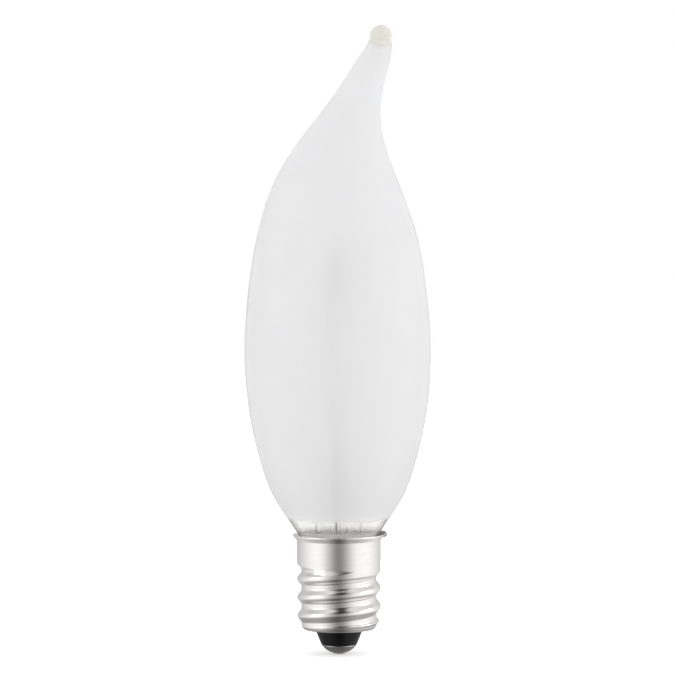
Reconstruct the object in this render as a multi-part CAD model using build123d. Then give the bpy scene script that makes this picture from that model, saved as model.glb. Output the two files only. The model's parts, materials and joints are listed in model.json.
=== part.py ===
from build123d import *
import math
import os

# Candle bulb: a frosted glass flame with a bent tip on a small screw base.
# Millimetres. +Z runs from the centre contact to the tip, and the tip leans to +X.
# The origin is the lowest point of the centre contact, on the screw's axis.

# Centre contact and black glass insulator
contact_height = 1.3
contact_bulge = 0.17
solder_radius = 0.95
solder_height = 0.2
eyelet_bore = 0.5
eyelet_collar = 0.25
eyelet_depth = 1.2
insulator_drop = 2.15
insulator_taper = 0.88
insulator_depth = 2.0

# Screw shell, rolled from thin plated sheet
sheet = 0.25
bottom_corner = 0.6
bottom_lip = 1.87
root_radius = 5.2
ridge_height = 0.58
ridge_width = 1.9
ridge_foot = 0.06
thread_pitch = 2.54
thread_height = 8.6
thread_start = -131.8
thread_lead_in = 0.3
thread_fade = 2.0
skirt_step = 0.02
skirt_height = 3.67
shoulder_height = 0.7
shoulder_round = 0.6
rim_flare = 0.6
rim_rise = 0.72
rim_round = 0.3

# Glass envelope: heights count from the rim, and past the bend along the spine
glass_wall = 0.55
neck_gap = 0.75
neck_depth = 7.6
neck_straight = 4.3
rim_gap = 0.88
belly_radius = 12.83
belly_rise = 24.9
bend_rise = 42.5
bend_angle = 26.3
curl_way = 2.45
curl_angle = 19.5
tip_rise = 68.76
tip_radius = 1.62
tip_slope = 0.125
bead_radius = 1.5
bead_rise = 0.85
tip_solid = 4.0

# Shares of the rise and of the growth in radius, from the rim up to the belly
lower_curve = ((0.085, 0.189), (0.198, 0.441), (0.365, 0.67), (0.646, 0.9))
# Shares of the way and of the loss in radius, from the belly up to the tip
upper_curve = (
    (0.178, 0.04),
    (0.363, 0.155),
    (0.566, 0.426),
    (0.657, 0.607),
    (0.747, 0.776),
    (0.837, 0.886),
    (0.928, 0.95),
)
sections_below = 14
sections_above = 22

# Glass stem
stem_gap = 0.45
stem_wall = 0.7
flare_height = 1.6
stem_height = 10.2
stem_squeeze = 2.6
press_trim = 0.1
press_thickness = 2.6
press_round = 1.18
press_height = 5.0
exhaust_radius = 1.2
exhaust_bore = 0.75
exhaust_tip = 1.2
exhaust_port = 0.5

# Wires, with the plane of the two leads turned about the axis
mount_turn = 81.0
lead_spread = 1.85
outer_lead_radius = 0.13
outer_lead_bend = 0.5
seal_wire_radius = 0.18
inner_lead_radius = 0.25
inner_lead_bend = 3.0
seal_wire_length = 3.6
lead_top_spread = 4.6
lead_rise = 23.0
lead_tail = 3.5
clamp_radius = 0.42
clamp_length = 1.1
rim_lead_turn = 5.0
lead_drop = 0.4

# Cement ring in the skirt and the rim
cement_inset = 0.4

# Filament and its support
coil_radius = 0.42
coil_rise = 5.0
coil_bend = 1.2
tail_radius = 0.1
tail_length = 0.9
support_radius = 0.12
support_depth = 2.0
loop_clearance = 0.06
loop_sweep = 310.0

# Side solder on the rim
rim_solder_radius = 0.42
rim_solder_inset = 0.14
rim_solder_rise = 0.04
rim_solder_sweep = 22.0

# Levels along the axis
shell_z = contact_height + insulator_drop
shoulder_z = shell_z + thread_height
flare_z = shoulder_z + skirt_height
rim_z = flare_z + rim_rise
neck_z = rim_z - neck_depth
stem_top_z = neck_z + stem_height
press_z = stem_top_z + stem_squeeze
press_top_z = press_z + press_height
seal_top_z = press_z + seal_wire_length
lead_top_z = press_top_z + lead_rise
insulator_top_z = shell_z + sheet + insulator_depth
eyelet_top_z = contact_height + eyelet_depth
exhaust_z = neck_z - exhaust_tip
cross_z = exhaust_z - lead_drop
port_z = press_z + exhaust_bore

# Radii that follow from the ones above, each from what it fits in or over
root_bore = root_radius - sheet
crest_radius = root_radius + ridge_height
skirt_radius = crest_radius + skirt_step
skirt_bore = skirt_radius - sheet
rim_radius = skirt_radius + rim_flare
insulator_radius = root_radius - bottom_lip
contact_radius = insulator_radius - insulator_taper
eyelet_tube = eyelet_bore + eyelet_collar
seat_radius = rim_radius - rim_gap
neck_radius = root_bore - neck_gap
neck_bore = neck_radius - glass_wall
stem_radius = neck_bore - stem_gap
stem_bore = stem_radius - stem_wall
press_width = 2 * (stem_radius - press_trim)
loop_radius = coil_radius + support_radius + loop_clearance


def spun(*outline):
    # a closed outline of (radius, height) points turned about the axis
    return revolve(Plane.XZ * make_face(Polyline(*outline, close=True)), Axis.Z)


def polar(radius, azimuth, height):
    turn = math.radians(azimuth)
    return (radius * math.cos(turn), radius * math.sin(turn), height)


def wire_along(points, radius, bend):
    # a round wire along straight runs joined by arcs
    path = FilletPolyline(*points, radius=bend)
    start = Plane(origin=path @ 0, z_dir=path % 0)
    return sweep(start * Circle(radius), path=path)


def turned(piece):
    return Rot(0, 0, mount_turn) * piece


def spine(way):
    # place and lean of the envelope's centre line: straight, bent towards +X, curled back a little
    runs = (
        (rim_z + bend_rise, 0),
        (tip_rise - bend_rise - curl_way, math.radians(bend_angle)),
        (curl_way, -math.radians(curl_angle)),
    )
    x = z = lean = 0
    for length, turn in runs:
        share = min(max(way / length, 0), 1)
        ahead = lean + turn * share
        if turn:
            radius = length / turn
            x += radius * (math.cos(lean) - math.cos(ahead))
            z += radius * (math.sin(ahead) - math.sin(lean))
        else:
            x += length * share * math.sin(lean)
            z += length * share * math.cos(lean)
        lean = ahead
        way -= length
    return x, z, lean


def spine_plane(way):
    x, z, lean = spine(way)
    along = (math.sin(lean), 0, math.cos(lean))
    across = (math.cos(lean), 0, -math.sin(lean))
    return Plane(origin=(x, 0, z), x_dir=across, z_dir=along)


def envelope_outline():
    # outer radius against the way along the spine, from the straight neck to the tip
    belly_z = rim_z + belly_rise
    tip_way = rim_z + tip_rise
    lower = [(seat_radius, rim_z)]
    for way, growth in lower_curve:
        lower.append((seat_radius + growth * (belly_radius - seat_radius), rim_z + way * belly_rise))
    upper = [(belly_radius, belly_z)]
    for way, loss in upper_curve:
        upper.append((belly_radius - loss * (belly_radius - tip_radius), belly_z + way * (tip_way - belly_z)))
    upper.append((tip_radius, tip_way))
    neck_top = (neck_radius, neck_z + neck_straight)
    bowl = Spline(neck_top, *lower, upper[0], tangents=((0, 1), (0, 1)))
    flame = Spline(*upper, tangents=((0, 1), (-tip_slope, 1)))
    stations = [bowl @ (i / sections_below) for i in range(sections_below)]
    stations += [flame @ (i / sections_above) for i in range(sections_above + 1)]
    return [(point.X, point.Y) for point in stations]


def envelope_form():
    # the outside of the glass, filled
    body = loft([spine_plane(way) * Circle(radius) for radius, way in envelope_outline()])
    neck = Pos(0, 0, neck_z) * Cylinder(
        neck_radius, neck_straight, align=(Align.CENTER, Align.CENTER, Align.MIN)
    )
    bead = spine_plane(rim_z + tip_rise) * Pos(0, 0, bead_rise) * Sphere(bead_radius)
    return body + neck + bead


def envelope_cavity():
    # the space inside, which ends below the solid tip
    top = rim_z + tip_rise - tip_solid
    stations = [(radius - glass_wall, way) for radius, way in envelope_outline() if way < top]
    body = loft([spine_plane(way) * Circle(radius) for radius, way in stations])
    neck = Pos(0, 0, neck_z) * Cylinder(
        neck_bore, neck_straight, align=(Align.CENTER, Align.CENTER, Align.MIN)
    )
    end_radius, end_way = stations[-1]
    return body + neck + spine_plane(end_way) * Sphere(end_radius)


def thread_ridge(foot_radius, crown_radius):
    # one round-topped ridge that climbs the shell as a right-hand helix
    flank = ridge_width / 2
    foot = foot_radius - ridge_foot
    path = Helix(thread_pitch, thread_height + thread_lead_in + shoulder_height, foot_radius)
    crown = Spline(
        (foot, -flank),
        (crown_radius, 0),
        (foot, flank),
        tangents=((1, 1), (0, 1), (-1, 1)),
    )
    section = Plane.XZ * make_face([crown, Line((foot, flank), (foot, -flank))])
    ridge = sweep(section, path=path, is_frenet=True)
    return Pos(0, 0, shell_z - thread_lead_in) * Rot(0, 0, thread_start) * ridge


def thread_room(inset):
    # the space that a ridge may fill: it fades into the rounded bottom and ends in the shoulder
    height = thread_height + shoulder_height - inset
    radius = crest_radius + ridge_foot - inset
    room = Cylinder(radius, height, align=(Align.CENTER, Align.CENTER, Align.MIN))
    room = fillet(room.edges().group_by(Axis.Z)[0], thread_fade - inset)
    return Pos(0, 0, shell_z + inset) * room


def screw_shell():
    sheet_line = FilletPolyline(
        (insulator_radius, shell_z),
        (root_radius, shell_z),
        (root_radius, shoulder_z),
        (skirt_radius, shoulder_z + shoulder_height),
        (skirt_radius, flare_z),
        (rim_radius, rim_z),
        radius=(bottom_corner, shoulder_round, shoulder_round, rim_round),
    )
    section = make_face(offset(sheet_line, amount=sheet, side=Side.LEFT))
    shell = revolve(Plane.XZ * section, Axis.Z)
    shell += thread_ridge(root_radius, crest_radius) & thread_room(0)
    return shell - (thread_ridge(root_bore, crest_radius - sheet) & thread_room(sheet))


def insulator():
    # black glass that fills the shell's bottom and narrows to the contact, with a hole for the lead
    outline = FilletPolyline(
        (eyelet_tube, contact_height),
        (contact_radius, contact_height),
        (insulator_radius, shell_z),
        (insulator_radius, shell_z + sheet),
        (root_bore, shell_z + sheet),
        (root_bore, insulator_top_z),
        (eyelet_bore, insulator_top_z),
        (eyelet_bore, eyelet_top_z),
        (eyelet_tube, eyelet_top_z),
        radius=(0, 0, 0, 0, bottom_corner - sheet, 0, 0, 0, 0),
        close=True,
    )
    return revolve(Plane.XZ * make_face(outline), Axis.Z)


def contact_eyelet():
    # a domed plate with a collar that grips the insulator's hole
    dome = SagittaArc((contact_radius, contact_height), (solder_radius, solder_height), -contact_bulge)
    edge = Polyline(
        (solder_radius, solder_height),
        (eyelet_bore, (solder_height + contact_height) / 2),
        (eyelet_bore, eyelet_top_z),
        (eyelet_tube, eyelet_top_z),
        (eyelet_tube, contact_height),
        (contact_radius, contact_height),
    )
    return revolve(Plane.XZ * make_face([dome, edge]), Axis.Z)


def contact_solder(lead):
    dome = TangentArc((0, 0), (solder_radius, solder_height), tangent=(1, 0))
    edge = Polyline(
        (solder_radius, solder_height),
        (eyelet_bore, (solder_height + contact_height) / 2),
        (eyelet_bore, contact_height),
        (0, contact_height),
        (0, 0),
    )
    return revolve(Plane.XZ * make_face([dome, edge]), Axis.Z) - lead


def seal_wire(side):
    return Pos(side * lead_spread, 0, press_z) * Cylinder(
        seal_wire_radius, seal_wire_length, align=(Align.CENTER, Align.CENTER, Align.MIN)
    )


def lead_end(side):
    return Vector(side * lead_top_spread, 0, lead_top_z)


def coil_direction(side):
    # from a lead's end up to the filament's peak
    return (Vector(0, 0, lead_top_z + coil_rise) - lead_end(side)).normalized()


def inner_lead(side, filament_wire):
    route = (
        (side * lead_spread, 0, seal_top_z),
        (side * lead_spread, 0, press_top_z + lead_tail),
        (side * lead_top_spread, 0, lead_top_z - lead_tail),
        (side * lead_top_spread, 0, lead_top_z),
    )
    clamp = Plane(origin=lead_end(side), z_dir=coil_direction(side)) * Cylinder(clamp_radius, clamp_length)
    return wire_along(route, inner_lead_radius, inner_lead_bend) + clamp - filament_wire


def filament():
    # the coil as a round bar of its outer size, with a bare tail in each lead's clamp
    start_gap = clamp_length / 2 + tail_length
    route = (
        lead_end(-1) + coil_direction(-1) * start_gap,
        Vector(0, 0, lead_top_z + coil_rise),
        lead_end(1) + coil_direction(1) * start_gap,
    )
    wire = wire_along(route, coil_radius, coil_bend)
    for side in (-1, 1):
        tail = Plane(origin=lead_end(side), z_dir=coil_direction(side))
        wire += tail * Cylinder(
            tail_radius, start_gap + coil_radius, align=(Align.CENTER, Align.CENTER, Align.MIN)
        )
    return wire


def support_wire():
    # a straight wire whose end is curled round the filament's peak, in the plane across it
    half_turn = math.atan2(coil_rise, lead_top_spread)
    peak_z = lead_top_z + coil_rise - coil_bend * (1 / math.cos(half_turn) - 1)
    shaft = Line((-loop_radius, press_top_z - support_depth), (-loop_radius, peak_z))
    curl = JernArc(shaft @ 1, shaft % 1, loop_radius, -loop_sweep)
    path = Plane.YZ * Wire([shaft, curl])
    return sweep(Plane(origin=path @ 0, z_dir=path % 0) * Circle(support_radius), path=path)


def stem(wires):
    tube = spun(
        (neck_bore, neck_z),
        (neck_bore, neck_z + stem_wall),
        (stem_radius, neck_z + flare_height),
        (stem_radius, stem_top_z),
        (stem_bore, stem_top_z),
        (stem_bore, neck_z + flare_height),
        (neck_bore - stem_wall, neck_z),
    )
    press_plane = Plane.XY.offset(press_z)
    press_face = press_plane * RectangleRounded(press_width, press_thickness, press_round)
    slot = press_plane * SlotOverall(2 * lead_spread + stem_wall, press_thickness - stem_wall * 2)
    tube_plane = Plane.XY.offset(stem_top_z)
    squeezed = loft([tube_plane * Circle(stem_radius), press_face])
    squeezed -= loft([tube_plane * Circle(stem_bore), slot])
    press = extrude(press_face, press_height)
    rounded = Pos(0, 0, exhaust_z + exhaust_radius)
    exhaust = rounded * Sphere(exhaust_radius) + rounded * Cylinder(
        exhaust_radius, press_z - exhaust_z - exhaust_radius, align=(Align.CENTER, Align.CENTER, Align.MIN)
    )
    bore = rounded * Cylinder(
        exhaust_bore, port_z - exhaust_z - exhaust_radius, align=(Align.CENTER, Align.CENTER, Align.MIN)
    )
    port = Pos(0, 0, port_z) * Rot(90, 0, 0) * Cylinder(
        exhaust_port, press_thickness, align=(Align.CENTER, Align.CENTER, Align.MIN)
    )
    glass = tube + squeezed + press + exhaust - bore - port
    for wire in wires:
        glass -= wire
    return glass


def centre_outer_lead():
    route = (
        (-lead_spread, 0, press_z),
        (-lead_spread, 0, cross_z),
        (0, 0, insulator_top_z),
        (0, 0, solder_height),
    )
    return wire_along(route, outer_lead_radius, outer_lead_bend)


def rim_gap_middle(height):
    # radius half way between the glass and the flared rim
    way, growth = lower_curve[0]
    glass_slope = growth * (belly_radius - seat_radius) / (way * belly_rise)
    flare_slope = (rim_radius - skirt_radius) / rim_rise
    glass = seat_radius + (height - rim_z) * glass_slope
    flare = skirt_radius + (height - flare_z) * flare_slope - sheet * math.hypot(1, flare_slope)
    return (glass + flare) / 2


def side_outer_lead():
    # down the stem, out under the neck, and up between glass and shell to the rim
    gap_radius = (neck_radius + root_bore) / 2
    root_z = flare_z + outer_lead_radius
    end_z = rim_z + 2 * outer_lead_radius
    route = (
        polar(lead_spread, mount_turn, press_z),
        polar(lead_spread, mount_turn, cross_z),
        polar(gap_radius, rim_lead_turn, cross_z),
        polar(gap_radius, rim_lead_turn, shoulder_z),
        polar(rim_gap_middle(root_z), rim_lead_turn, root_z),
        polar(rim_gap_middle(end_z), rim_lead_turn, end_z),
    )
    return wire_along(route, outer_lead_radius, outer_lead_bend)


def rim_solder(shell, lead):
    # a short bead along the rim's edge over the lead's end
    middle = rim_radius - rim_solder_inset
    level = rim_z + rim_solder_rise
    round_face = Plane.XZ * Pos(middle, level) * Circle(rim_solder_radius)
    bead = Rot(0, 0, rim_lead_turn - rim_solder_sweep / 2) * revolve(round_face, Axis.Z, rim_solder_sweep)
    for turn in (-rim_solder_sweep / 2, rim_solder_sweep / 2):
        bead += Pos(*polar(middle, rim_lead_turn + turn, level)) * Sphere(rim_solder_radius)
    return bead - shell - lead


def basing_cement(glass, lead):
    low = shoulder_z + shoulder_height + cement_inset
    high = rim_z - cement_inset
    ring = spun((neck_bore, low), (skirt_bore, low), (skirt_bore, high), (neck_bore, high))
    return ring - glass - lead


def main():
    glass = envelope_form()
    shell = screw_shell()
    coil = filament()
    inner_leads = [inner_lead(side, coil) for side in (-1, 1)]
    seal_wires = [seal_wire(side) for side in (-1, 1)]
    support = support_wire()
    centre_lead = centre_outer_lead()
    side_lead = side_outer_lead()
    pieces = {
        "envelope": glass - envelope_cavity(),
        "stem": turned(stem([*inner_leads, *seal_wires, support])),
        "centre_outer_lead": turned(centre_lead),
        "side_outer_lead": side_lead,
        "centre_seal_wire": turned(seal_wires[0]),
        "side_seal_wire": turned(seal_wires[1]),
        "centre_inner_lead": turned(inner_leads[0]),
        "side_inner_lead": turned(inner_leads[1]),
        "support_wire": turned(support),
        "filament": turned(coil),
        "basing_cement": basing_cement(glass, side_lead),
        "screw_shell": shell,
        "insulator": insulator(),
        "contact_eyelet": contact_eyelet(),
        "contact_solder": contact_solder(turned(centre_lead)),
        "rim_solder": rim_solder(shell, side_lead),
    }
    os.makedirs("parts", exist_ok=True)
    for name, piece in pieces.items():
        export_step(piece, os.path.join("parts", name + ".step"))
        print(name, "solids", len(piece.solids()), "volume", round(piece.volume, 3), "valid", piece.is_valid)


main()
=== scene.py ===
import json
import math
import bpy
import numpy as np
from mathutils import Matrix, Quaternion, Vector, noise


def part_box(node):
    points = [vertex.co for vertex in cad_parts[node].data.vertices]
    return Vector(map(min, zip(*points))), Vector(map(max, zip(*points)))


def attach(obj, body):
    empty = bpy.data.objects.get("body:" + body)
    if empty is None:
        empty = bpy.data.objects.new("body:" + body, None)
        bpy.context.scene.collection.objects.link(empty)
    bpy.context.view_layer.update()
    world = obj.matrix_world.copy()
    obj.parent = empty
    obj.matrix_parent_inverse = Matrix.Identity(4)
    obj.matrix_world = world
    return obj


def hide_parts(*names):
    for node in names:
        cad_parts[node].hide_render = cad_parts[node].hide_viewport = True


mm = 0.001  # every size below is in millimetres, and meshes are in metres
poleRadius = 1e-4  # a ring smaller than this is one point

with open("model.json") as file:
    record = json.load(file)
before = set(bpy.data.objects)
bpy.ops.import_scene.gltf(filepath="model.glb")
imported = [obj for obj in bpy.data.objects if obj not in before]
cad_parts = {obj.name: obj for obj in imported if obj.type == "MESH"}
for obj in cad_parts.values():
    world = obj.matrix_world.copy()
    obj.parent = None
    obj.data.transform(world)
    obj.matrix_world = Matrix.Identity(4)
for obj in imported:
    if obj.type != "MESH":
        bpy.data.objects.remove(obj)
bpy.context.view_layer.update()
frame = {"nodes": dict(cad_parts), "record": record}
shellLow, shellHigh = (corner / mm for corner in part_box("screw_shell"))
insulatorLow, insulatorHigh = (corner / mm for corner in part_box("insulator"))
print("frame loaded:", len(frame["nodes"]), "CAD nodes")


# Shared tools

def linear(hexColour):
    # sRGB hex to the linear colour that shaders take
    parts = [int(hexColour[i:i + 2], 16) / 255 for i in (1, 3, 5)]
    return [p / 12.92 if p <= 0.04045 else ((p + 0.055) / 1.055) ** 2.4 for p in parts] + [1]


def perMm(size):
    # texture scale for a pattern whose features are this many millimetres wide
    return 1 / (size * mm)


def addNode(tree, kind, inputs=(), **settings):
    # inputs go by socket name or number, or in order; a node is linked by its first live output
    node = tree.nodes.new(kind)
    for key, value in settings.items():
        setattr(node, key, value)
    for key, value in inputs.items() if isinstance(inputs, dict) else enumerate(inputs):
        if isinstance(value, bpy.types.Node):
            value = next(socket for socket in value.outputs if socket.enabled)
        if isinstance(value, bpy.types.NodeSocket):
            tree.links.new(value, node.inputs[key])
        else:
            node.inputs[key].default_value = value
    return node


def fade(value, start, end):
    # eased from 0 at start to 1 at end
    share = min(max((value - start) / (end - start), 0), 1)
    return share * share * (3 - 2 * share)


def fullTurn(count):
    # evenly spaced angles, once round
    return [2 * math.pi * j / count for j in range(count)]


def roundedOutline(points, radii, steps=7):
    # a polyline with each inner corner turned into an arc of its own radius
    line = [Vector(point) for point in points]
    outline = [line[0]]
    for before, corner, after, radius in zip(line, line[1:], line[2:], radii):
        if radius == 0:
            outline.append(corner)
            continue
        back = (before - corner).normalized()
        ahead = (after - corner).normalized()
        half = back.angle(ahead) / 2
        middle = corner + (back + ahead).normalized() * (radius / math.sin(half))
        first = corner + back * (radius / math.tan(half)) - middle
        last = corner + ahead * (radius / math.tan(half)) - middle
        outline += [middle + first.slerp(last, i / steps) * radius for i in range(steps + 1)]
    return outline + [line[-1]]


def divided(outline, step):
    # the same line with no run longer than step
    line = [outline[0]]
    for start, end in zip(outline, outline[1:]):
        count = max(1, math.ceil((end - start).length / step))
        line += [start.lerp(end, (i + 1) / count) for i in range(count)]
    return line


def roundEnd(start, end, steps=5):
    # points of the half circle that closes a sheet from start round to end, without the two
    middle = (start + end) / 2
    arm = start - middle
    side = Vector((-arm.y, arm.x))
    turns = [math.pi * i / steps for i in range(1, steps)]
    return [middle + arm * math.cos(turn) + side * math.sin(turn) for turn in turns]


def arc(radius, height, start, end, rows):
    # points of (radius, height) round a place on the axis
    turns = np.linspace(start, end, rows)
    return [Vector((radius * math.cos(turn), height + radius * math.sin(turn))) for turn in turns]


def polar(radius, turn, height):
    return Vector((radius * math.cos(turn), radius * math.sin(turn), height))


def circle(radius, height, segments):
    if radius < poleRadius:
        return [Vector((0, 0, height))]
    return [polar(radius, turn, height) for turn in fullTurn(segments)]


def skinMesh(points, faces):
    mesh = bpy.data.meshes.new("skin")
    mesh.from_pydata(points, [], faces)
    mesh.shade_smooth()
    return mesh


def ringMesh(rings, closed=False):
    # joins rings of points into one skin; a ring of one point is a pole
    points, starts, faces = [], [], []
    for ring in rings:
        starts.append(len(points))
        points += [point * mm for point in ring]
    pairs = [(i, i + 1) for i in range(len(rings) - 1)]
    if closed:
        pairs.append((len(rings) - 1, 0))
    for low, high in pairs:
        count = max(len(rings[low]), len(rings[high]))
        for j in range(count):
            k = (j + 1) % count
            if len(rings[low]) == 1:
                faces.append((starts[low], starts[high] + k, starts[high] + j))
            elif len(rings[high]) == 1:
                faces.append((starts[low] + j, starts[low] + k, starts[high]))
            else:
                faces.append((starts[low] + j, starts[low] + k, starts[high] + k, starts[high] + j))
    return skinMesh(points, faces)


def turnedMesh(outline, segments, closed=False):
    # an outline of (radius, height) turned about the axis
    return ringMesh([circle(r, z, segments) for r, z in outline], closed)


def joined(*meshes):
    # several closed skins as one mesh
    points, faces = [], []
    for mesh in meshes:
        start = len(points)
        points += [vertex.co.copy() for vertex in mesh.vertices]
        faces += [[start + i for i in polygon.vertices] for polygon in mesh.polygons]
        bpy.data.meshes.remove(mesh)
    return skinMesh(points, faces)


def lumpy(mesh, size, depth):
    # pushes the skin in and out along its normals by a smooth noise
    for vertex in mesh.vertices:
        swell = noise.noise(vertex.co / (size * mm))
        vertex.co += vertex.normal * swell * depth * mm


def setNumbers(mesh, **attributes):
    # one number for each point of the mesh, under each name
    for name, numbers in attributes.items():
        mesh.attributes.new(name, "FLOAT", "POINT").data.foreach_set("value", numbers)


def addObject(name, data):
    added = bpy.data.objects.new(name, data)
    bpy.context.scene.collection.objects.link(added)
    return added


def addPiece(name, mesh, material, node):
    # a finished piece takes the place of its CAD node and its material slot
    piece = addObject(name, mesh)
    mesh.name = name
    mesh.materials.clear()
    mesh.materials.append(material)
    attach(piece, "root")
    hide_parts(node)


def newTree(name, sizes):
    # a geometry tree with a material and named sizes as inputs
    tree = bpy.data.node_groups.new(name, "GeometryNodeTree")
    tree.interface.new_socket("Geometry", in_out="INPUT", socket_type="NodeSocketGeometry")
    tree.interface.new_socket("Finish", in_out="INPUT", socket_type="NodeSocketMaterial")
    for size in sizes:
        tree.interface.new_socket(size, in_out="INPUT", socket_type="NodeSocketFloat")
    tree.interface.new_socket("Geometry", in_out="OUTPUT", socket_type="NodeSocketGeometry")
    return tree, addNode(tree, "NodeGroupInput").outputs


def endTree(tree, geometry, finish):
    smooth = addNode(tree, "GeometryNodeSetShadeSmooth", {"Geometry": geometry})
    real = addNode(tree, "GeometryNodeRealizeInstances", {"Geometry": smooth})
    faced = addNode(tree, "GeometryNodeSetMaterial", {"Geometry": real, "Material": finish})
    addNode(tree, "NodeGroupOutput", {"Geometry": faced})


def runTree(tree, mesh, material, sizes):
    # the tree's result as a plain mesh
    holder = addObject("holder", mesh)
    modifier = holder.modifiers.new(tree.name, "NODES")
    modifier.node_group = tree
    for item in tree.interface.items_tree:
        if item.in_out == "INPUT" and item.name == "Finish":
            modifier[item.identifier] = material
        elif item.in_out == "INPUT" and item.name in sizes:
            modifier[item.identifier] = float(sizes[item.name])
    holder.update_tag()
    depsgraph = bpy.context.evaluated_depsgraph_get()
    result = bpy.data.meshes.new_from_object(holder.evaluated_get(depsgraph))
    bpy.data.objects.remove(holder)
    bpy.data.meshes.remove(mesh)
    return result


def newMaterial(name):
    material = bpy.data.materials.new(name)
    material.use_nodes = True
    tree = material.node_tree
    tree.nodes.clear()
    return material, tree, addNode(tree, "ShaderNodeTexCoord").outputs["Object"]


def endMaterial(tree, sockets):
    shader = addNode(tree, "ShaderNodeBsdfPrincipled", sockets)
    addNode(tree, "ShaderNodeOutputMaterial", {"Surface": shader})


def edgeOn(tree, start):
    # 0 where the skin faces the eye up to this share, and 1 where it is seen edge on
    facing = addNode(tree, "ShaderNodeLayerWeight", {"Blend": 0.5}).outputs["Facing"]
    return addNode(tree, "ShaderNodeMapRange", {
        "Value": facing, "From Min": start, "From Max": 1.0}, interpolation_type="SMOOTHSTEP")


def twoTone(tree, place, dark, light, grain, detail):
    # a noise with grains of this size, and the colour that it mixes from two shades
    spots = addNode(tree, "ShaderNodeTexNoise", {
        "Vector": place, "Scale": perMm(grain), "Detail": detail})
    return spots, addNode(tree, "ShaderNodeMix", {
        0: spots, 6: linear(dark), 7: linear(light)}, data_type="RGBA")


def mottled(name, shades, grain, detail, roughness=None, relief=None, **sockets):
    # a surface whose colour, roughness and relief follow one noise
    material, tree, place = newMaterial(name)
    spots, sockets["Base Color"] = twoTone(tree, place, *shades, grain, detail)
    if roughness:
        smooth, rough = roughness
        sockets["Roughness"] = addNode(tree, "ShaderNodeMapRange", {
            "Value": spots, "To Min": smooth, "To Max": rough})
    if relief:
        strength, depth = relief
        sockets["Normal"] = addNode(tree, "ShaderNodeBump", {
            "Strength": strength, "Distance": depth * mm, "Height": spots})
    endMaterial(tree, sockets)
    return material


# Materials

etching = {
    "cloud": 9, "grain": 0.35, "grainDepth": 0.02, "grainStrength": 0.12, "through": 0.33,
    "paintedEdgeFrom": 0.48, "paintedOutlineShadeFrom": 0.78, "clearVeil": 0.3, "hazeVeil": 0.92, "paintedEdgeVeil": 0.9,
}


def etchedGlass():
    # blown soda-lime glass, acid-etched to an even milky white that all but hides the inside; the neck
    # is left clear and hardly shows face on; where seen edge on its wall is a painted shade, a dark line
    material, tree, place = newMaterial("etchedSodaLimeGlass")
    frost, bead, haze, outside = (
        addNode(tree, "ShaderNodeAttribute", attribute_name=name).outputs["Fac"]
        for name in ("frost", "bead", "haze", "outside"))
    edge = edgeOn(tree, etching["paintedEdgeFrom"])
    # painted shade: the milky glass is painted a darker grey towards its outline, where it is seen edge on
    rim = edgeOn(tree, etching["paintedOutlineShadeFrom"])
    milk = twoTone(tree, place, "#E7E7E8", "#ECECED", grain=etching["cloud"], detail=2)[1]
    milkPaintedEdgeShade = addNode(tree, "ShaderNodeMix", {0: rim, 6: milk, 7: linear("#D0CFCE")}, data_type="RGBA")
    # painted light: next to the rim the clear neck is painted an almost opaque pale cream,
    # standing in for the lit cement and shell seen through it
    face = addNode(tree, "ShaderNodeMix", {
        0: haze, 6: linear("#D2D0CE"), 7: linear("#FDFBF7")}, data_type="RGBA")
    # painted shade: where the clear wall is seen edge on it is painted a dark grey line, made nearly opaque
    # below
    wall = addNode(tree, "ShaderNodeMix", {0: edge, 6: face, 7: linear("#5F5B58")}, data_type="RGBA")
    etched = addNode(tree, "ShaderNodeMix", {0: frost, 6: wall, 7: milkPaintedEdgeShade}, data_type="RGBA")
    colour = addNode(tree, "ShaderNodeMix", {0: bead, 6: etched, 7: linear("#E4E2DB")}, data_type="RGBA")
    through = addNode(tree, "ShaderNodeMath", (frost, etching["through"]), operation="MULTIPLY")
    # the painted light near the rim also makes the neck almost opaque there
    veil = addNode(tree, "ShaderNodeMapRange", {
        "Value": haze, "To Min": etching["clearVeil"], "To Max": etching["hazeVeil"]})
    thin = addNode(tree, "ShaderNodeMapRange", {
        "Value": edge, "To Min": veil, "To Max": etching["paintedEdgeVeil"]})
    # the wall's two skins are taken as one, so the clear neck's inner skin is left out
    skin = addNode(tree, "ShaderNodeMath", (thin, outside), operation="MULTIPLY")
    milky = addNode(tree, "ShaderNodeMath", (frost, bead), operation="MAXIMUM")
    solid = addNode(tree, "ShaderNodeMix", {0: milky, 2: skin, 3: 1.0}, data_type="FLOAT")
    rough = addNode(tree, "ShaderNodeMapRange", {"Value": frost, "To Min": 0.02, "To Max": 0.95})
    # etch grain is far finer than this; it is drawn at a third of a millimetre so that it shows
    grain = addNode(tree, "ShaderNodeTexNoise", {
        "Vector": place, "Scale": perMm(etching["grain"]), "Detail": 2})
    depth = addNode(tree, "ShaderNodeMath", (frost, etching["grainStrength"]), operation="MULTIPLY")
    bump = addNode(tree, "ShaderNodeBump", {
        "Strength": depth, "Distance": etching["grainDepth"] * mm, "Height": grain})
    # a thin wall bends light far less than a block of its glass, so the IOR is low
    endMaterial(tree, {
        "Base Color": colour, "Transmission Weight": through, "Alpha": solid, "Roughness": rough,
        "Normal": bump, "IOR": 1.2})
    return material


def stemGlass():
    # drawn lead glass tube: clear, so that only its walls show, as painted grey lines, a painted shade where
    # they turn edge on
    material, tree, place = newMaterial("drawnLeadGlass")
    clear = twoTone(tree, place, "#FCFCFB", "#FFFFFF", grain=1.5, detail=2)[1]
    edge = edgeOn(tree, start=0.4)
    # painted shade: the clear glass is painted grey where its wall is seen edge on
    colour = addNode(tree, "ShaderNodeMix", {0: edge, 6: clear, 7: linear("#85827E")}, data_type="RGBA")
    endMaterial(tree, {"Base Color": colour, "Transmission Weight": 1, "Roughness": 0.02, "IOR": 1.45})
    return material


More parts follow.
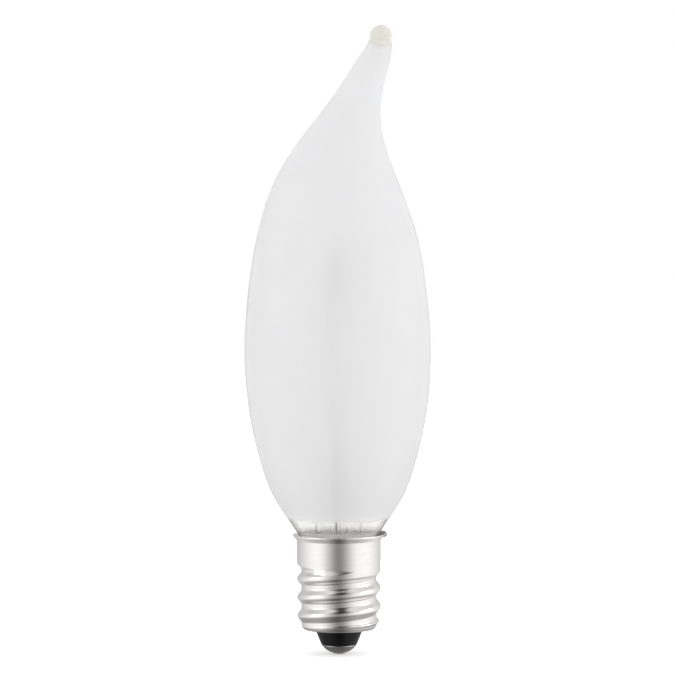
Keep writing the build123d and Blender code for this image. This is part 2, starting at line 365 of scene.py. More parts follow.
def platedBrass():
    # nickel-plated brass, rolled from sheet: bright and faintly warm, with soft streaks along the rolling
    material, tree, place = newMaterial("nickelPlatedBrass")
    around = addNode(tree, "ShaderNodeMapping", {"Vector": place, "Scale": (0.35, 0.35, 2.5)})
    streak, colour = twoTone(tree, around, "#EEEBEA", "#F7F5F4", grain=0.9, detail=4)
    rough = addNode(tree, "ShaderNodeMapRange", {"Value": streak, "To Min": 0.08, "To Max": 0.18})
    dents = addNode(tree, "ShaderNodeTexNoise", {"Vector": place, "Scale": perMm(1.6), "Detail": 1})
    bump = addNode(tree, "ShaderNodeBump", {"Strength": 0.25, "Distance": 0.04 * mm, "Height": dents})
    endMaterial(tree, {"Base Color": colour, "Roughness": rough, "Normal": bump, "Metallic": 1})
    return material


def contactMetal():
    # stamped and tinned brass: greyer than the shell, dull from handling
    return mottled(
        "tinnedBrass", ("#A3A09E", "#C4C1BF"), grain=0.6, detail=4, roughness=(0.14, 0.26), Metallic=1)


def blackGlass():
    # pressed black glass: deep black and glossy, with the shallow ripple of its mould
    return mottled(
        "pressedBlackGlass", ("#030303", "#0A090A"), grain=1.2, detail=2,
        roughness=(0.04, 0.12), relief=(0.4, 0.05), IOR=1.5)


def softSolder():
    # tin-lead solder as it set: grey, half dull, with frosty patches
    return mottled(
        "softSolder", ("#8C8B8A", "#CFCECC"), grain=0.5, detail=5,
        roughness=(0.25, 0.55), relief=(0.5, 0.05), Metallic=1)


def drawnWire(name, dull, bright, smooth, rough):
    # drawn wire: metal between two shades, with fine die marks
    return mottled(name, (dull, bright), grain=0.25, detail=3, roughness=(smooth, rough), Metallic=1)


def bakedCement():
    # baked resin and stone-powder cement: cream, matt and gritty
    return mottled(
        "bakedBasingCement", ("#E9E1D6", "#F8F4ED"), grain=0.4, detail=6, relief=(0.6, 0.1), Roughness=0.85)


tarnishedWire = drawnWire("tarnishedCopperWire", "#4A423E", "#6E625C", 0.3, 0.5)
brightWire = drawnWire("tinnedCopperWire", "#CFC7BF", "#E6E1DB", 0.2, 0.35)
copperCladWire = drawnWire("copperCladWire", "#8E4A38", "#B3634A", 0.3, 0.5)
nickelWire = drawnWire("drawnNickelWire", "#9B9892", "#C4C1BA", 0.2, 0.4)
molybdenumWire = drawnWire("molybdenumWire", "#77777A", "#9A9A9E", 0.3, 0.5)
tungstenWire = drawnWire("tungstenWire", "#4A4A4B", "#6E6E70", 0.35, 0.6)
solder = softSolder()
print("materials made")


# Screw shell: thin sheet turned in at the bottom, with a rolled thread, a skirt and a flared rim

shell = {
    "sheet": 0.25, "holeRadius": 3.33, "rootRadius": 5.2, "bottomCorner": 0.6,
    "threadHeight": 8.6, "shoulderHeight": 0.7, "shoulderRound": 1.0, "skirtHeight": 3.67,
    "rimRise": 0.72, "rimRound": 0.3, "cornerRows": 10, "rowStep": 0.07, "segments": 192,
}
ridge = {
    "Pitch": 2.54, "Ridge Height": 0.58, "Ridge Reach": 1.0,
    "Lead In": 0.3, "Run Out": 2.0, "Soft Edge": 0.1,
}
# in degrees, in turns of the thread or as shares
winding = {
    "Start Turn": -131.8, "Ridge Fullness": 0.75,
    "Groove End": 3.185, "Groove Fade": 0.1, "Groove Middle": 0.24, "Groove Taper": 0.55,
}
skirtRadius = next(m for m in frame["record"]["mounts"] if m["name"] == "screw_cap")["dims"]["r_mm"]
rimRadius = shellHigh.x
shellZ = shellLow.z
shoulderZ = shellZ + shell["threadHeight"]
flareZ = shoulderZ + shell["skirtHeight"]
rimZ = flareZ + shell["rimRise"]


def shellOutline():
    flare = Vector((rimRadius - skirtRadius, shell["rimRise"]))
    lip = Vector((rimRadius, rimZ)) - flare.normalized() * shell["sheet"] / 2
    radii = [shell[name] for name in ("bottomCorner", "shoulderRound", "shoulderRound", "rimRound")]
    outer = divided(roundedOutline([
        (shell["holeRadius"] + shell["sheet"] / 2, shellZ),
        (shell["rootRadius"], shellZ),
        (shell["rootRadius"], shoulderZ),
        (skirtRadius, shoulderZ + shell["shoulderHeight"]),
        (skirtRadius, flareZ),
        lip,
    ], radii, shell["cornerRows"]), shell["rowStep"])
    inner = []
    for i, point in enumerate(outer):
        run = outer[min(i + 1, len(outer) - 1)] - outer[max(i - 1, 0)]
        inner.append(point + Vector((-run.y, run.x)).normalized() * shell["sheet"])
    inner.reverse()
    return outer, roundEnd(outer[-1], inner[0]), inner, roundEnd(inner[-1], outer[0])


def threadTree(sizes):
    # lifts a round-topped helical ridge out of a turned shell, from a faded start to its end in the shoulder
    tree, given = newTree("rolledThread", sizes)
    place = addNode(tree, "GeometryNodeInputPosition")
    flat = addNode(tree, "ShaderNodeVectorMath", (place, (1, 1, 0)), operation="MULTIPLY")
    known = {name: given[name] for name in sizes}
    known["x"], known["y"], known["z"] = addNode(tree, "ShaderNodeSeparateXYZ", (place,)).outputs
    known["radius"] = addNode(tree, "ShaderNodeVectorMath", (flat,), operation="LENGTH")
    for name in ("depth", "wall"):
        known[name] = addNode(tree, "GeometryNodeInputNamedAttribute", {"Name": name}, data_type="FLOAT")
    # each step has a name, an operation and its terms
    for step, operation, *terms in (
        ("outerRadius", "ADD", "radius", "depth"),
        # how far each point is from the middle of the nearest turn
        ("angle", "ARCTAN2", "y", "x"),
        ("turned", "DIVIDE", "angle", 2 * math.pi),
        ("started", "DIVIDE", "Start Turn", 360),
        ("turns", "SUBTRACT", "turned", "started"),
        ("foot", "SUBTRACT", "Shell Height", "Lead In"),
        ("rise", "SUBTRACT", "z", "foot"),
        ("risen", "DIVIDE", "rise", "Pitch"),
        ("count", "SUBTRACT", "risen", "turns"),
        ("nearest", "ROUND", "count"),
        ("apart", "SUBTRACT", "count", "nearest"),
        ("away", "ABSOLUTE", "apart"),
        ("gap", "MULTIPLY", "away", "Pitch"),
        ("share", "DIVIDE", "gap", "Ridge Reach"),
        ("kept", "MINIMUM", "share", 1),
        # the ridge's round section
        ("phase", "MULTIPLY", "kept", math.pi),
        ("cosine", "COSINE", "phase"),
        ("wave", "MULTIPLY_ADD", "cosine", 0.5, 0.5),
        ("full", "POWER", "wave", "Ridge Fullness"),
        # near its end the groove above the ridge is filled, edges first, so that it runs to a point
        ("whole", "FLOOR", "count"),
        ("way", "ADD", "turns", "whole"),
        ("overRidge", "SUBTRACT", "count", "whole"),
        ("off", "SUBTRACT", "overRidge", "Groove Middle"),
        ("aside", "ABSOLUTE", "off"),
        ("sooner", "MULTIPLY_ADD", "aside", "Groove Taper", "way"),
        ("left", "SUBTRACT", "Groove End", "sooner"),
        ("leftShare", "DIVIDE", "left", "Groove Fade"),
        ("atMost", "MINIMUM", "leftShare", 1),
        ("open", "MAXIMUM", "atMost", 0),
        ("hollow", "SUBTRACT", 1, "full"),
        ("openHollow", "MULTIPLY", "hollow", "open"),
        ("filled", "SUBTRACT", 1, "openHollow"),
        ("bump", "MULTIPLY", "filled", "Ridge Height"),
        # nothing is lifted where the shoulder already stands further out
        ("ridgeRadius", "ADD", "Root Radius", "bump"),
        ("proud", "SUBTRACT", "ridgeRadius", "outerRadius"),
        ("overRoot", "MAXIMUM", "proud", 0),
        # the run-out follows a round corner somewhat larger than the shell's own
        ("above", "SUBTRACT", "z", "Shell Height"),
        ("drop", "SUBTRACT", "Run Out", "above"),
        ("below", "MAXIMUM", "drop", 0),
        ("outerSquare", "POWER", "Run Out", 2),
        ("belowSquare", "POWER", "below", 2),
        ("chordSquare", "SUBTRACT", "outerSquare", "belowSquare"),
        ("chord", "SQRT", "chordSquare"),
        ("crest", "ADD", "Root Radius", "Ridge Height"),
        ("middle", "SUBTRACT", "crest", "Run Out"),
        ("room", "ADD", "middle", "chord"),
        ("spare", "SUBTRACT", "room", "outerRadius"),
        ("fit", "MINIMUM", "bump", "overRoot"),
        ("held", "SMOOTH_MIN", "fit", "spare", "Soft Edge"),
        ("raised", "MAXIMUM", "held", 0),
        ("lift", "MULTIPLY", "raised", "wall"),
    ):
        inputs = [known.get(term, term) for term in terms]
        known[step] = addNode(tree, "ShaderNodeMath", inputs, operation=operation)
    outwards = addNode(tree, "ShaderNodeVectorMath", (flat,), operation="NORMALIZE")
    offset = addNode(tree, "ShaderNodeVectorMath", {
        0: outwards, "Scale": known["lift"]}, operation="SCALE")
    moved = addNode(tree, "GeometryNodeSetPosition", {"Geometry": given["Geometry"], "Offset": offset})
    endTree(tree, moved, given["Finish"])
    return tree


def screwShell():
    outer, lip, inner, foot = shellOutline()
    outline = outer + lip + inner + foot
    mesh = turnedMesh(outline, shell["segments"], True)
    depth, wall = [], []
    innerStart = len(outer) + len(lip)
    for i, (radius, height) in enumerate(outline):
        inside = innerStart <= i < innerStart + len(inner)
        upright = radius > shell["rootRadius"] - shell["bottomCorner"] and height > shellZ
        depth += [shell["sheet"] * mm if inside else 0] * shell["segments"]
        wall += [1 if upright else 0] * shell["segments"]
    setNumbers(mesh, depth=depth, wall=wall)
    lengths = {**ridge, "Root Radius": shell["rootRadius"], "Shell Height": shellZ}
    sizes = {**{name: length * mm for name, length in lengths.items()}, **winding}
    metal = platedBrass()
    addPiece("screwShell", runTree(threadTree(sizes), mesh, metal, sizes), metal, "screw_shell")


screwShell()
print("screw shell rolled")


# Insulator and centre contact

insulator = {"footRadius": 2.45, "holeRadius": 0.5, "edge": 0.12, "rowStep": 0.3, "segments": 128}
contact = {
    "solderRadius": 0.95, "solderHeight": 0.2, "bulge": 0.17, "collar": 0.25, "depth": 1.2,
    "lump": 0.05, "lumpSize": 0.7, "domeRows": 12,
}
contactZ = insulatorLow.z
eyeletTopZ = contactZ + contact["depth"]
collarRadius = insulator["holeRadius"] + contact["collar"]


def blackInsulator():
    hole, bore = insulator["holeRadius"], shell["rootRadius"] - shell["sheet"]
    outline = roundedOutline([
        (hole, eyeletTopZ),
        (collarRadius, eyeletTopZ),
        (collarRadius, contactZ),
        (insulator["footRadius"], contactZ),
        (shell["holeRadius"], shellZ),
        (shell["holeRadius"], shellZ + shell["sheet"]),
        (bore, shellZ + shell["sheet"]),
        (bore, insulatorHigh.z),
        (hole, insulatorHigh.z),
        (hole, eyeletTopZ),
    ], (0, 0, insulator["edge"], 0, 0, shell["bottomCorner"] - shell["sheet"], insulator["edge"], 0))
    mesh = turnedMesh(divided(outline[:-1], insulator["rowStep"]), insulator["segments"], True)
    addPiece("blackInsulator", mesh, blackGlass(), "insulator")


def contactEyelet():
    rim = Vector((insulator["footRadius"], contactZ))
    nose = Vector((contact["solderRadius"], contact["solderHeight"]))
    chord = nose - rim
    bulge = Vector((-chord.y, chord.x)).normalized() * contact["bulge"]
    shares = np.linspace(1, 0, contact["domeRows"])
    dome = [rim.lerp(nose, t) + bulge * (1 - (2 * t - 1) ** 2) for t in shares]
    inside = [(collarRadius, contactZ), (collarRadius, eyeletTopZ), (insulator["holeRadius"], eyeletTopZ)]
    seat = (insulator["holeRadius"], (contact["solderHeight"] + contactZ) / 2)
    outline = dome + [Vector(point) for point in (*inside, seat)]
    mesh = turnedMesh(outline, insulator["segments"], True)
    addPiece("contactEyelet", mesh, contactMetal(), "contact_eyelet")


def contactSolder():
    top = Vector((insulator["holeRadius"], contactZ))
    edge = Vector((contact["solderRadius"], contact["solderHeight"]))
    dome = [Vector((edge.x * t, edge.y * t ** 2)) for t in np.linspace(0, 1, contact["domeRows"])]
    outline = dome + [Vector((top.x, (edge.y + top.y) / 2)), top, Vector((0, top.y))]
    mesh = turnedMesh(outline, insulator["segments"] // 2)
    low = min(vertex.co.z for vertex in mesh.vertices)
    lumpy(mesh, contact["lumpSize"], contact["lump"])
    for vertex in mesh.vertices:
        vertex.co.z = max(vertex.co.z, low)
    addPiece("contactSolder", mesh, solder, "contact_solder")


blackInsulator()
contactEyelet()
contactSolder()
print("insulator and contact made")


# Glass envelope: circles along a spine that is straight, then bends towards +X and curls back at the tip

envelope = {
    "wall": 0.55, "neckRadius": 4.2, "neckDepth": 7.6, "neckStraight": 4.3,
    "seatRadius": 5.52, "bellyRadius": 12.825, "bellyRise": 24.9,
    "bendRise": 42.5, "bendAngle": 26.3, "curlWay": 2.45, "curlAngle": 19.5,
    "tipRise": 68.76, "tipRadius": 1.62, "tipSlope": 0.125, "tipSolid": 4.0, "capRows": 10,
    "beadRadius": 1.495, "beadRise": 0.85, "beadWaist": 1.4, "beadRows": 20,
    "waistFlare": 0.1, "waistDrop": 0.04,
    "beadFrost": 0.6, "meltDrop": 0.75, "meltDip": 0.5, "meltFade": 0.5,
    "frostRise": 2.3, "frostFade": 0.3, "hazeRise": 0.9, "segments": 160, "rows": 150, "rowStep": 0.5,
}
# shares of the rise and of the growth in radius, from the rim up to the belly
lowerCurve = ((0.085, 0.189), (0.198, 0.441), (0.365, 0.67), (0.646, 0.9))
# shares of the way and of the loss in radius, from the belly up to the tip
upperCurve = (
    (0.178, 0.04), (0.363, 0.155), (0.566, 0.426), (0.657, 0.607),
    (0.747, 0.776), (0.837, 0.886), (0.928, 0.95),
)
neckZ = rimZ - envelope["neckDepth"]
tipWay = rimZ + envelope["tipRise"]


def smoothCurve(points, startTangent, endTangent, count):
    # evenly spaced points of the cubic spline through points, with its ends along the two tangents
    knots = np.array(points, float)
    spans = np.linalg.norm(np.diff(knots, axis=0), axis=1)
    size = len(knots)
    matrix = np.zeros((size, size))
    wanted = np.zeros((size, 2))
    matrix[0, 0] = matrix[-1, -1] = 1
    wanted[0] = np.array(startTangent) / np.linalg.norm(startTangent)
    wanted[-1] = np.array(endTangent) / np.linalg.norm(endTangent)
    for i in range(1, size - 1):
        before, after = spans[i - 1], spans[i]
        matrix[i, i - 1:i + 2] = after, 2 * (before + after), before
        rises = (knots[i] - knots[i - 1]) * after / before + (knots[i + 1] - knots[i]) * before / after
        wanted[i] = 3 * rises
    slopes = np.linalg.solve(matrix, wanted)
    marks = np.concatenate([[0], np.cumsum(spans)])
    curve = []
    for place in np.linspace(0, marks[-1], count):
        i = min(int(np.searchsorted(marks, place, "right")) - 1, size - 2)
        t = (place - marks[i]) / spans[i]
        start, end = slopes[i] * spans[i], slopes[i + 1] * spans[i]
        value = knots[i] * (1 + 2 * t) * (1 - t) ** 2 + knots[i + 1] * t ** 2 * (3 - 2 * t)
        curve.append(Vector(value + start * t * (1 - t) ** 2 - end * t ** 2 * (1 - t)))
    return curve


def spineRing(radius, way, segments):
    # a circle square to the spine at this way along it
    bendWay = envelope["tipRise"] - envelope["bendRise"] - envelope["curlWay"]
    runs = (
        (rimZ + envelope["bendRise"], 0),
        (bendWay, math.radians(envelope["bendAngle"])),
        (envelope["curlWay"], -math.radians(envelope["curlAngle"])),
    )
    middle, lean = Vector((0, 0, 0)), 0
    for length, turn in runs:
        share = min(max(way / length, 0), 1)
        ahead = lean + turn * share
        if turn:
            step = Vector((math.cos(lean) - math.cos(ahead), 0, math.sin(ahead) - math.sin(lean)))
            middle += step * length / turn
        else:
            middle += Vector((math.sin(lean), 0, math.cos(lean))) * length * share
        lean = ahead
        way -= length
    middle += Vector((math.sin(lean), 0, math.cos(lean))) * max(way, 0)
    if radius < poleRadius:
        return [middle]
    across = Vector((math.cos(lean), 0, -math.sin(lean))) * radius
    aside = Vector((0, radius, 0))
    return [middle + across * math.cos(turn) + aside * math.sin(turn) for turn in fullTurn(segments)]


def envelopeOutline():
    # (radius, way along the spine) from the open neck to the tip
    seat, belly = envelope["seatRadius"], envelope["bellyRadius"]
    bellyZ = rimZ + envelope["bellyRise"]
    gain, loss = belly - seat, belly - envelope["tipRadius"]
    lower = [(envelope["neckRadius"], neckZ + envelope["neckStraight"]), (seat, rimZ)]
    lower += [(seat + grow * gain, rimZ + way * envelope["bellyRise"]) for way, grow in lowerCurve]
    lower.append((belly, bellyZ))
    upper = [(belly, bellyZ)]
    upper += [(belly - lost * loss, bellyZ + way * (tipWay - bellyZ)) for way, lost in upperCurve]
    upper.append((envelope["tipRadius"], tipWay))
    bowl = smoothCurve(lower, (0, 1), (0, 1), envelope["rows"] // 2)
    flame = smoothCurve(upper, (0, 1), (-envelope["tipSlope"], 1), envelope["rows"])
    return divided([Vector((envelope["neckRadius"], neckZ)), *bowl, *flame[1:]], envelope["rowStep"])


def beadOutline():
    # a waist where the tube was closed, then the round bead
    radius = envelope["beadRadius"]
    waistTurn = -math.acos(envelope["beadWaist"] / radius)
    bead = arc(radius, tipWay + envelope["beadRise"], waistTurn, math.pi / 2, envelope["beadRows"])
    return [bead[0] + Vector((envelope["waistFlare"], -envelope["waistDrop"])), *bead]


def glassEnvelope():
    tube = envelopeOutline()
    solidWay = tipWay - envelope["tipSolid"]
    hollow = [Vector((r - envelope["wall"], way)) for r, way in tube if way < solidWay]
    endRadius, endWay = hollow[-1]
    hollow += arc(endRadius, endWay, 0, math.pi / 2, envelope["capRows"])[1:]
    outline = [*reversed(hollow), *tube, *beadOutline()]
    rings = [spineRing(r, way, envelope["segments"]) for r, way in outline]
    mesh = ringMesh(rings)
    frost, melt, outside, haze = [], [], [], []
    frostZ = rimZ + envelope["frostRise"]
    for i, ring in enumerate(rings):
        way = outline[i].y
        outer = 1 if i >= len(hollow) else 0
        milky = fade(way, frostZ - envelope["frostFade"], frostZ + envelope["frostFade"])
        # painted light: 1 at the rim, fading out above it
        paintedRimLightShare = 1 - fade(way, rimZ, rimZ + envelope["hazeRise"])
        for turn in fullTurn(envelope["segments"])[:len(ring)]:
            # the etched edge dips at the front and back of the tip
            edge = tipWay - envelope["meltDrop"] + envelope["meltDip"] * abs(math.cos(turn))
            melted = fade(way, edge - envelope["meltFade"], edge + envelope["meltFade"])
            frost.append(milky * (1 - melted * (1 - envelope["beadFrost"])) * outer)
            melt.append(melted)
            outside.append(outer)
            haze.append(paintedRimLightShare * outer)
    setNumbers(mesh, frost=frost, bead=melt, outside=outside, haze=haze)
    addPiece("glassEnvelope", mesh, etchedGlass(), "envelope")


glassEnvelope()
print("envelope blown")


# Stem: flared tube pressed flat round the leads, with the exhaust tube in it

stem = {
    "radius": 3.2, "wall": 0.7, "flareHeight": 1.6, "flareRound": 1.0, "footRound": 0.1, "heelRound": 0.3,
    "height": 10.2, "squeeze": 2.6, "squeezeRows": 16, "squareness": 0.55, "lap": 0.1,
    "pressWidth": 6.2, "pressThickness": 2.6, "pressHeight": 5.0, "pressEdge": 0.5, "edgeRows": 6,
    "exhaustRadius": 1.2, "exhaustBore": 0.75, "exhaustTip": 1.2, "tipRows": 8,
    "rowStep": 1.5, "segments": 96,
}
mount = {"turn": 81.0, "spread": 1.85}
stemTopZ = neckZ + stem["height"]
pressZ = stemTopZ + stem["squeeze"]
pressTopZ = pressZ + stem["pressHeight"]
exhaustZ = neckZ - stem["exhaustTip"]


def mountPlace(x, y, z):
    # a place in the plane of the leads, which is turned about the axis
    turn = math.radians(mount["turn"])
    return Vector((x * math.cos(turn) - y * math.sin(turn), x * math.sin(turn) + y * math.cos(turn), z))


def squeezedRing(radius, width, thickness, share, height):
    # between a circle and a flat rounded oblong
    ring = []
    for turn in fullTurn(stem["segments"]):
        ahead = Vector((math.cos(turn), math.sin(turn)))
        x, y = (math.copysign(abs(part) ** stem["squareness"], part) for part in ahead)
        place = (ahead * radius).lerp(Vector((x * width / 2, y * thickness / 2)), share)
        ring.append(mountPlace(place.x, place.y, height))
    return ring


def flaredTube():
    # from the slot in the press down the inside, round the flare and up the outside to the press's top
    wall, tube, lap = stem["wall"], stem["radius"], stem["lap"]
    neckBore = envelope["neckRadius"] - envelope["wall"]
    flareTop = neckZ + stem["flareHeight"]
    width, thickness = stem["pressWidth"], stem["pressThickness"]
    slotWidth, slotThickness = 2 * mount["spread"] + wall, thickness - 2 * wall
    inside, outside = [], []
    for t in np.linspace(0, 1, stem["squeezeRows"]):
        share, height = fade(t, 0, 1), stemTopZ + t * stem["squeeze"]
        inside.append(squeezedRing(tube - wall, slotWidth, slotThickness, share, height))
        outside.append(squeezedRing(tube, width, thickness, share, height))
    edge = stem["pressEdge"]
    for turn in np.linspace(0, math.pi / 2, stem["edgeRows"]):
        inset = 2 * edge * (1 - math.cos(turn))
        height = pressTopZ - edge + edge * math.sin(turn)
        outside.append(squeezedRing(0, width - inset, thickness - inset, 1, height))
    radii = [stem[name] for name in ("flareRound", "footRound", "footRound", "heelRound", "flareRound")]
    flareLine = roundedOutline([
        (tube - wall, stemTopZ - lap), (tube - wall, flareTop), (neckBore - wall, neckZ),
        (neckBore, neckZ), (neckBore, neckZ + wall), (tube, flareTop), (tube, stemTopZ - lap),
    ], radii)
    flare = [[mountPlace(*point) for point in circle(r, z, stem["segments"])] for r, z in flareLine]
    slotTop, pressTop = [mountPlace(0, 0, pressZ + lap)], [mountPlace(0, 0, pressTopZ)]
    return ringMesh([slotTop, *reversed(inside), *flare, *outside, pressTop])


def exhaustTube():
    # closed by a round tip below, and open into the press
    bore, pipe = stem["exhaustBore"], stem["exhaustRadius"]
    tip = arc(pipe, exhaustZ + pipe, -math.pi / 2, 0, stem["tipRows"])
    pit = arc(bore, exhaustZ + pipe, 0, -math.pi / 2, stem["tipRows"])
    outline = [*tip, Vector((pipe, pressZ)), Vector((bore, pressZ)), *pit]
    return turnedMesh(divided(outline, stem["rowStep"]), stem["segments"] // 2)


addPiece("glassStem", joined(flaredTube(), exhaustTube()), stemGlass(), "stem")
print("stem pressed")


# Wires: each follows a route of straight runs with rounded corners

wire = {
    "outerRadius": 0.13, "outerBend": 0.5, "sealRadius": 0.18, "sealLength": 3.6,
    "innerRadius": 0.25, "innerBend": 3.0, "topSpread": 4.6, "leadRise": 23.0, "leadTail": 3.5,
    "leadDrop": 0.4, "rimTurn": 5.0, "clampRadius": 0.42, "clampLength": 1.1, "bendRows": 8, "sides": 20,
}
coil = {
    "radius": 0.42, "wireRadius": 0.055, "rise": 5.0, "bend": 1.2, "pitch": 0.17, "tail": 1.3,
    "fullFrom": 1.25, "bendRows": 10, "sides": 6, "pointsPerTurn": 14,
}
support = {"radius": 0.12, "depth": 2.0, "clearance": 0.06, "sweep": 310.0, "points": 40}
sealTopZ = pressZ + wire["sealLength"]
leadTopZ = pressTopZ + wire["leadRise"]
crossZ = exhaustZ - wire["leadDrop"]
rimTurn = math.radians(wire["rimTurn"])
peak = Vector((0, 0, leadTopZ + coil["rise"]))


def bentRoute(tree, given, rows):
    line = addNode(tree, "GeometryNodeMeshToCurve", {"Mesh": given["Geometry"]})
    return addNode(tree, "GeometryNodeFilletCurve", {
        "Curve": line, "Count": rows, "Radius": given["Bend Radius"]}, mode="POLY")


def thicken(tree, given, curve, sides):
    section = addNode(tree, "GeometryNodeCurvePrimitiveCircle", {
        "Resolution": sides, "Radius": given["Wire Radius"]})
    solid = addNode(tree, "GeometryNodeCurveToMesh", {
        "Curve": curve, "Profile Curve": section, "Fill Caps": True})
    endTree(tree, solid, given["Finish"])


def wireTree():
    tree, given = newTree("drawnWire", ("Wire Radius", "Bend Radius"))
    thicken(tree, given, bentRoute(tree, given, wire["bendRows"]), wire["sides"])
    return tree


def coilTree(sizes):
    # winds a wire round the route, with straight tails at both ends
    tree, given = newTree("woundCoil", sizes)
    number = (tree, "ShaderNodeMath")
    bent = bentRoute(tree, given, coil["bendRows"])
    fine = addNode(tree, "GeometryNodeResampleCurve", {"Curve": bent, "Count": given["Points"]})
    factor = addNode(tree, "GeometryNodeSplineParameter").outputs["Factor"]
    rest = addNode(*number, (1.0, factor), operation="SUBTRACT")
    fromEnd = addNode(*number, (factor, rest), operation="MINIMUM")
    fullFrom = addNode(*number, (given["Tail Share"], coil["fullFrom"]), operation="MULTIPLY")
    swell = addNode(tree, "ShaderNodeMapRange", {
        "Value": fromEnd, "From Min": given["Tail Share"], "From Max": fullFrom},
        interpolation_type="SMOOTHSTEP")
    wound = addNode(*number, (factor, given["Turns"]), operation="MULTIPLY")
    turn = addNode(*number, (wound, 2 * math.pi), operation="MULTIPLY")
    arm = addNode(*number, (given["Coil Radius"], swell), operation="MULTIPLY")
    cosine = addNode(*number, (turn,), operation="COSINE")
    sine = addNode(*number, (turn,), operation="SINE")
    along = addNode(*number, (arm, cosine), operation="MULTIPLY")
    across = addNode(*number, (arm, sine), operation="MULTIPLY")
    normal = addNode(tree, "GeometryNodeInputNormal")
    tangent = addNode(tree, "GeometryNodeInputTangent")
    side = addNode(tree, "ShaderNodeVectorMath", (tangent, normal), operation="CROSS_PRODUCT")
    first = addNode(tree, "ShaderNodeVectorMath", {0: normal, "Scale": along}, operation="SCALE")
    second = addNode(tree, "ShaderNodeVectorMath", {0: side, "Scale": across}, operation="SCALE")
    offset = addNode(tree, "ShaderNodeVectorMath", (first, second), operation="ADD")
    coiled = addNode(tree, "GeometryNodeSetPosition", {"Geometry": fine, "Offset": offset})
    thicken(tree, given, coiled, coil["sides"])
    return tree


def routeMesh(points):
    mesh = bpy.data.meshes.new("route")
    edges = [(i, i + 1) for i in range(len(points) - 1)]
    mesh.from_pydata([point * mm for point in points], edges, [])
    return mesh


drawTree = wireTree()


def wireMesh(route, radius, bend, material):
    sizes = {"Wire Radius": radius * mm, "Bend Radius": bend * mm}
    return runTree(drawTree, routeMesh(route), material, sizes)


def addWire(name, node, route, radius, bend, material):
    addPiece(name, wireMesh(route, radius, bend, material), material, node)


def centreOuterLead():
    route = [
        mountPlace(-mount["spread"], 0, pressZ), mountPlace(-mount["spread"], 0, crossZ),
        Vector((0, 0, insulatorHigh.z)), Vector((0, 0, contact["solderHeight"])),
    ]
    radius, bend = wire["outerRadius"], wire["outerBend"]
    addWire("centreOuterLead", "centre_outer_lead", route, radius, bend, tarnishedWire)


def gapMiddle(height):
    # the radius halfway between the glass and the flared rim
    way, grow = lowerCurve[0]
    glassSlope = grow * (envelope["bellyRadius"] - envelope["seatRadius"]) / (way * envelope["bellyRise"])
    flareSlope = (rimRadius - skirtRadius) / shell["rimRise"]
    glass = envelope["seatRadius"] + (height - rimZ) * glassSlope
    flare = skirtRadius + (height - flareZ) * flareSlope - shell["sheet"] * math.hypot(1, flareSlope)
    return (glass + flare) / 2


def sideOuterLead():
    # down the stem, out under the neck, up between glass and shell, and over to the rim's solder
    gap = (envelope["neckRadius"] + shell["rootRadius"] - shell["sheet"]) / 2
    rootZ = flareZ + wire["outerRadius"]
    endZ = rimZ + 2 * wire["outerRadius"]
    route = [
        mountPlace(mount["spread"], 0, pressZ), mountPlace(mount["spread"], 0, crossZ),
        polar(gap, rimTurn, crossZ), polar(gap, rimTurn, shoulderZ),
        polar(gapMiddle(rootZ), rimTurn, rootZ), polar(gapMiddle(endZ), rimTurn, endZ),
    ]
    addWire("sideOuterLead", "side_outer_lead", route, wire["outerRadius"], wire["outerBend"], brightWire)


def sealWire(name, node, side):
    x = side * mount["spread"]
    route = [mountPlace(x, 0, pressZ), mountPlace(x, 0, sealTopZ)]
    addWire(name, node, route, wire["sealRadius"], 0, copperCladWire)


def leadEnd(side):
    return mountPlace(side * wire["topSpread"], 0, leadTopZ)


def innerLead(name, node, side):
    # spread apart above the press, with a clamp on the filament's tail
    spread, top = side * mount["spread"], side * wire["topSpread"]
    route = [
        mountPlace(spread, 0, sealTopZ), mountPlace(spread, 0, pressTopZ + wire["leadTail"]),
        mountPlace(top, 0, leadTopZ - wire["leadTail"]), leadEnd(side),
    ]
    lead = wireMesh(route, wire["innerRadius"], wire["innerBend"], nickelWire)
    ahead = (peak - leadEnd(side)).normalized() * wire["clampLength"] / 2
    clamp = wireMesh([leadEnd(side) - ahead, leadEnd(side) + ahead], wire["clampRadius"], 0, nickelWire)
    addPiece(name, joined(lead, clamp), nickelWire, node)


def filamentCoil():
    start, end = leadEnd(-1), leadEnd(1)
    length = (peak - start).length + (end - peak).length
    turns = round((length - 2 * coil["tail"]) / coil["pitch"])
    sizes = {
        "Wire Radius": coil["wireRadius"] * mm, "Bend Radius": coil["bend"] * mm,
        "Coil Radius": (coil["radius"] - coil["wireRadius"]) * mm,
        "Turns": turns, "Tail Share": coil["tail"] / length, "Points": turns * coil["pointsPerTurn"],
    }
    mesh = runTree(coilTree(sizes), routeMesh([start, peak, end]), tungstenWire, sizes)
    addPiece("filamentCoil", mesh, tungstenWire, "filament")


def supportWire():
    # straight up beside the axis, then curled round the filament's peak
    halfTurn = math.atan2(coil["rise"], wire["topSpread"])
    peakZ = peak.z - coil["bend"] * (1 / math.cos(halfTurn) - 1)
    loop = coil["radius"] + support["radius"] + support["clearance"]
    route = [mountPlace(0, -loop, pressTopZ - support["depth"])]
    for turn in np.radians(np.linspace(0, support["sweep"], support["points"])):
        route.append(mountPlace(0, -loop * math.cos(turn), peakZ + loop * math.sin(turn)))
    addWire("supportWire", "support_wire", route, support["radius"], 0, molybdenumWire)


centreOuterLead()
sideOuterLead()
sealWire("centreSealWire", "centre_seal_wire", -1)
sealWire("sideSealWire", "side_seal_wire", 1)
innerLead("centreInnerLead", "centre_inner_lead", -1)
innerLead("sideInnerLead", "side_inner_lead", 1)
filamentCoil()
supportWire()
print("wires drawn and filament wound")


# Cement ring and side solder

